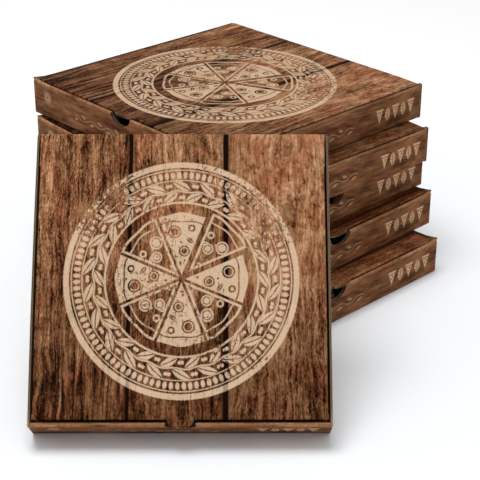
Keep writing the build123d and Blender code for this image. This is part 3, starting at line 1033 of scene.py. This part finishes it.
def printed_wall():
    mat, shader = new_material("printed_wall")
    u, v = uv_of("print")
    drift = noise(u * 0.006, v * 0.03, 21.0, detail=1.0)
    wander = noise(u * 0.02, v * 0.07, 25.0, detail=2.0)
    y = mad(drift - 0.5, 16.0, mad(wander - 0.5, 7.0, v))
    blot = noise(u * 0.030, v * 0.070, 27.0, detail=4.0, rough=0.62)
    short = noise(y * 0.34, u * 0.042, 61.0, detail=4.0, rough=0.66)
    lines = noise(y * 0.30, u * 0.010, 64.0, detail=2.0, rough=0.55)
    tone = mad(blot - 0.5, 1.0, mad(short - 0.5, 0.62, mad(lines - 0.5, 0.30, 0.48)))
    dark = noise(y * 0.42, u * 0.018, 71.0, detail=2.0, rough=0.6)
    tone = mad(smooth(dark, 0.60, 0.73), -0.15, tone)
    # lighter along the top, darker toward the bottom
    tone = tone + smooth(v, 2.0, 30.0, -0.04, 0.01)
    # a lighter band along the top fold: ink worn off there, and partly a painted highlight on the rounded fold
    fold_wear_and_highlight = noise(u * 0.35, v * 0.5, 83.0, detail=3.0, rough=0.7)
    tone = tone + smooth(v, 33.6, 35.2) * mad(fold_wear_and_highlight - 0.5, 1.0, 0.16)
    colour = ramp(clamp(tone), WOOD)
    hue = noise(u * 0.02, v * 0.06, 79.0, detail=2.0)
    colour = blend_colour(smooth(hue, 0.44, 0.66) * 0.30, colour, (150, 90, 62), "OVERLAY")
    colour = blend_colour(smooth(hue, 0.50, 0.30) * 0.36, colour, (116, 112, 68), "OVERLAY")
    colour = blend_colour(0.06, colour, (104, 88, 70), "MIX")
    # five small figures near the right-hand end: slices and leaves by turns
    t = (u - 71.0) / 12.0
    index = calc("FLOOR", t)
    x = (fract(t) - 0.5) * 12.0 * 0.86
    yy = (v - 17.8) * 0.86
    odd = fract(index * 0.5) * 2.0
    wedge = most(mad(absolute(x), 0.94, mad(yy, -0.33, -2.25)), yy - 6.4)
    wedge = most(wedge, 0.42 - absolute(yy - 3.9))
    wedge = most(wedge, 0.85 - length2(x - 0.8, yy - 1.6), 0.7 - length2(x + 0.7, yy + 1.0))
    lq = yy / 6.6
    leaf = mad(lq * lq, 3.3, absolute(x)) - 3.3
    leaf = most(leaf, 0.32 - absolute(x), 0.25 - absolute(fract(mad(absolute(x), -0.22, yy * 0.33)) - 0.5) * 3.0 + most(absolute(x) * -1.0, -0.2) * 0.0)
    figures = lerp(odd, wedge, leaf)
    here = over(u, 71.0) * over(131.0, u)
    figures = lerp(here, 5.0, figures)
    # a waving stem with leaves in the middle
    stem = absolute(mad(sine(u * 0.24), -2.1, v - 15.2)) - 0.42
    lx = (fract(u * (0.24 / math.pi)) - 0.5) * (math.pi / 0.24)
    side = lerp(over(sine(u * 0.24), 0.0), -1.0, 1.0)
    sx, sy = lx * 0.8, (v - 15.2) * side
    lf = absolute(sy + 2.6 - sx * 0.35) - 1.5 + (lx / 3.6) * (lx / 3.6) * 1.5
    stem = least(stem, lf)
    stem = lerp(over(55.5, absolute(u + 17.0)), 5.0, stem)
    # a small spoked disc at the left-hand end
    wx, wy = (u + 119.0) * 1.35, (v - 22.5) * 1.35
    wr = length2(wx, wy)
    wheel = least(absolute(wr - 7.0) - 0.7, wr - 5.2)
    wt = calc("ARCTAN2", wy, wx)
    wheel = most(wheel, 0.4 - wr * absolute(sine(wt * 3.0)) * 0.33)
    art = least(figures, stem, wheel)
    rag = noise(u * 0.9, v * 0.9, 5.0, detail=3.0, rough=0.7)
    art = mad(rag - 0.5, 1.1, art)
    ink = calc("MULTIPLY_ADD", art, -1.6, 0.5, clamp=True)
    speck = noise(u * 0.7, v * 0.6, 13.0, detail=4.0, rough=0.75)
    ink = ink * (1.0 - smooth(speck, 0.60, 0.68)) * over(40.0, v)
    strength = lerp(over(u, 60.0), lerp(over(u, -100.0), 0.62, 0.46), 0.92)
    colour = blend_colour(ink * strength, colour, (208, 170, 134), "MIX")
    colour = add_painted_gap_shade(colour)
    finish_board(shader, colour, v, u, tone, ink)
    return mat


def kraft_board():
    mat, shader = new_material("kraft_board")
    n = TREE.nodes.new("ShaderNodeTexCoord")
    s = TREE.nodes.new("ShaderNodeSeparateXYZ")
    u, v = uv_of("print")
    pulp = noise(u * 0.9, v * 0.35, 2.0, detail=4.0, rough=0.7)
    cloud = noise(u * 0.03, v * 0.03, 6.0, detail=2.0)
    TREE.nodes.remove(n); TREE.nodes.remove(s)
    specks = noise(u * 1.8, v * 1.1, 9.0, detail=2.0, rough=0.6)
    tone = mad(pulp - 0.5, 0.55, mad(cloud - 0.5, 0.4, 0.5))
    colour = ramp(clamp(tone), [(0.0, (150, 112, 74)), (0.5, (184, 144, 100)), (1.0, (206, 170, 126))])
    colour = blend_colour(smooth(specks, 0.64, 0.72) * 0.45, colour, (112, 78, 48), "MIX")
    finish_board(shader, colour, u, v, None, None)
    # painted shade: beside folds, and on the inside of the side walls near their tops
    _, dim = uv_of("shade_and_tint")
    colour = blend_colour(clamp(dim * 0.01) * 0.85, colour, (26, 15, 9), "MIX")
    TREE.links.new(colour.s, shader.inputs["Base Color"])
    plug(mad(pulp, 0.1, 0.75), shader.inputs["Roughness"])
    shader.inputs["Specular IOR Level"].default_value = 0.15
    return mat


def cut_edge():
    mat, shader = new_material("cut_edge")
    n = TREE.nodes.new("ShaderNodeTexCoord")
    s = TREE.nodes.new("ShaderNodeSeparateXYZ")
    TREE.links.new(n.outputs["Object"], s.inputs[0])
    x, y, z = (Ex(o) * 1000.0 for o in s.outputs)
    fibre = TREE.nodes.new("ShaderNodeTexNoise")
    plug(pack(x, y, z), fibre.inputs["Vector"])
    fibre.inputs["Scale"].default_value = 1.7
    fibre.inputs["Detail"].default_value = 3.0
    f = Ex(fibre.outputs[0])
    colour = ramp(f, [(0.3, (108, 94, 77)), (0.5, (138, 121, 101)), (0.7, (164, 146, 122))])
    _, shade = uv_of("shade_and_tint")
    # brown and black from the tint: the brown partly the edges' own colour and partly painted shade, the black painted
    # shade
    colour = blend_colour(clamp(shade) * 0.72, colour, (64, 42, 26), "MIX")
    colour = blend_colour(clamp(shade - 1.0) * 0.85, colour, (14, 8, 5), "MIX")
    TREE.links.new(colour.s, shader.inputs["Base Color"])
    plug(mad(f, 0.1, 0.8), shader.inputs["Roughness"])
    shader.inputs["Specular IOR Level"].default_value = 0.12
    bump(f, shader, 0.5, 0.00015)
    return mat


MATERIALS = [printed_lid(), printed_wall(), kraft_board(), cut_edge()]


# ------------------------------------------------------------------ pieces
def to_object(name, solid, co, matrix, shade):
    me = bpy.data.meshes.new(name)
    world = (np.column_stack([co, np.ones(len(co))]) @ np.array(matrix).T)[:, :3] * 0.001
    me.from_pydata(world.tolist(), [], solid.poly)
    for m in MATERIALS:
        me.materials.append(m)
    me.polygons.foreach_set("material_index", np.array(solid.mat, np.int32))
    art = np.concatenate([np.array(u, float).reshape(-1, 4) for u in solid.art])
    lids = np.repeat(np.array(solid.mat) == LID, [len(p) for p in solid.poly])
    art[lids, 3] = 0.01 * shade
    for label, data in (("print", np.concatenate([np.array(u, float).reshape(-1, 2) for u in solid.uv])), ("art", art[:, :2]), ("shade_and_tint", art[:, 2:])):
        layer = me.uv_layers.new(name=label)
        layer.uv.foreach_set("vector", data.astype(np.float32).ravel())
    me.polygons.foreach_set("use_smooth", np.ones(len(me.polygons), bool))
    me.update()
    me.validate(clean_customdata=False)
    me.set_sharp_from_angle(angle=math.radians(32))
    ob = bpy.data.objects.new(name, me)
    bpy.context.scene.collection.objects.link(ob)
    return ob


def pos(x, y, z):
    return Matrix.Translation((x, y, z))


def turn(angle, axis):
    return Matrix.Rotation(math.radians(angle), 4, axis)


# middle of the base x, y, z and turn about Z (mm, degrees), as the CAD has them
PLACES = {
    "top_box": (-8.80, 96.73, 149.0, -46.428),
    "second_box": (-3.17, 73.34, 111.75, -47.890),
    "third_box": (-3.86, 91.96, 74.5, 43.259),
    "fourth_box": (4.74, 68.94, 37.25, 44.956),
    "bottom_box": (8.76, 34.10, 0.0, 44.137),
}
LEAN = 40.719
drop = 1.3 * (math.cos(math.radians(LEAN)) + math.sin(math.radians(LEAN))) - 1.3
lean_matrix = pos(-44.39, -264.06, -drop) @ turn(0.491, "Z") @ turn(90.0 - LEAN, "X") @ pos(0, 127.0, 0)


def matrix_of(name):
    x, y, z, a = PLACES[name]
    return pos(x, y, z) @ turn(a, "Z")


def make(name, w, h, thumb, notch, part, matrix, seed, sag, out, corners, node, body, gap=0.9, spin=None, stretch=1.0, wave_all=True, shade=0.0):
    solid = pizza_box(w, h, thumb, notch, part, wave_all, gap, spin, stretch)
    co = np.concatenate(solid.co)
    co = bow(co, w, h, seed, sag, out, corners, name)
    ob = to_object(name, solid, co, matrix, shade)
    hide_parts(node)
    if part == "lid":
        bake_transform(ob)
    else:
        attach(ob, body)
    return ob


RIGHT = [(1, -1, 1.3, 2.4), (-1, -1, 0.7, 0.0)]
make("bottom_box_board", STACK_W, STACK_H, 3.6, (-13.5, 12.0), "whole", matrix_of("bottom_box"), 5, 0.5, (0.5, 0.4, 0.3, 0.5), RIGHT, "bottom_box", "stack", spin=-147.3, stretch=1.11, wave_all=False, shade=-0.45)
make("fourth_box_board", STACK_W, STACK_H, 3.6, (-2.0, 11.4), "whole", matrix_of("fourth_box"), 4, 0.5, (0.4, 0.5, 0.3, 0.6), RIGHT, "fourth_box", "stack", spin=-158.8, stretch=1.07, wave_all=False, shade=-0.5)
make("third_box_board", STACK_W, STACK_H, 3.6, (8.0, 17.5), "whole", matrix_of("third_box"), 3, 0.4, (0.5, 0.4, 0.3, 0.3), [(1, -1, 0.4, 0.0)], "third_box", "stack", spin=-155.0, stretch=1.02, wave_all=False)
# its lid is darkened a lot: painted shadow of the top box above it
make("second_box_board", STACK_W, STACK_H, 3.6, (2.0, 11.2), "whole", matrix_of("second_box"), 2, 0.4, (0.6, 0.4, 0.3, 0.4), [(1, 1, 1.2, 2.2), (-1, -1, 0.4, 0.6)], "second_box", "stack", wave_all=False, shade=0.85)
TOP = [(-1, -1, 0.8, 2.2), (1, 1, 1.0, 1.4), (1, -1, 0.9, 0.8)]
make("top_box_tray_board", STACK_W, STACK_H, 3.6, (0.0, 11.0), "tray", matrix_of("top_box"), 1, 0.5, (0.5, 0.4, 0.2, 0.4), TOP, "top_box_tray", "stack")
make("top_box_lid_board", STACK_W, STACK_H, 3.6, (0.0, 11.0), "lid", matrix_of("top_box"), 1, 0.5, (0.5, 0.4, 0.2, 0.4), TOP, "top_box_lid", "top_lid", shade=0.26)
LEANING = [(-1, -1, 0.8, 0.3), (1, -1, 0.8, 0.3)]
make("leaning_box_tray_board", LEAN_W, LEAN_H, 7.4, (0.0, 11.5), "tray", lean_matrix, 6, 0.5, (0.3, 0.7, 0.1, 0.0), LEANING, "leaning_box_tray", "stack", gap=0.3)
make("leaning_box_lid_board", LEAN_W, LEAN_H, 7.4, (0.0, 11.5), "lid", lean_matrix, 6, 0.5, (0.3, 0.7, 0.1, 0.0), LEANING, "leaning_box_lid", "leaning_lid", gap=0.3)


# ------------------------------------------------------------------ floor, light
def make_floor():
    me = bpy.data.meshes.new("floor")
    s = 12.0
    me.from_pydata([(-s, -s, 0), (s, -s, 0), (s, s, 0), (-s, s, 0)], [], [(0, 1, 2, 3)])
    mat, shader = new_material("floor_paper")
    place = TREE.nodes.new("ShaderNodeTexCoord")
    split = TREE.nodes.new("ShaderNodeSeparateXYZ")
    TREE.links.new(place.outputs["Object"], split.inputs[0])
    # the floor's colour is painted: faintly blue near the boxes, against the brown light they throw back into its
    # shade, and whiter farther off, which lifts the soft shade there
    far = smooth(length2(Ex(split.outputs[0]), Ex(split.outputs[1])), 0.36, 0.60)
    colour = ramp(far, [(0.0, (247.5, 251.4, 254.8)), (1.0, (254, 254, 254))])
    TREE.links.new(colour.s, shader.inputs["Base Color"])
    shader.inputs["Roughness"].default_value = 0.9
    shader.inputs["Specular IOR Level"].default_value = 0.1
    me.materials.append(mat)
    ob = bpy.data.objects.new("floor", me)
    bpy.context.scene.collection.objects.link(ob)


make_floor()


def area_light(name, location, target, size, power, colour=(1, 1, 1)):
    data = bpy.data.lights.new(name, "AREA")
    data.shape = "RECTANGLE"
    data.size, data.size_y = size
    data.energy = power
    data.color = colour
    ob = bpy.data.objects.new(name, data)
    ob.location = location
    ob.rotation_euler = (Vector(target) - Vector(location)).to_track_quat("-Z", "Y").to_euler()
    bpy.context.scene.collection.objects.link(ob)


area_light("key", (-0.42, -0.05, 2.48), (0, 0, 0.1), (1.35, 1.35), 35.5)

world = bpy.data.worlds.new("world")
bpy.context.scene.world = world
world.use_nodes = True
world.node_tree.nodes["Background"].inputs[0].default_value = (1, 1, 1, 1)
world.node_tree.nodes["Background"].inputs[1].default_value = 0.62
bpy.context.scene.view_settings.view_transform = "Standard"
bpy.context.scene.view_settings.look = "None"
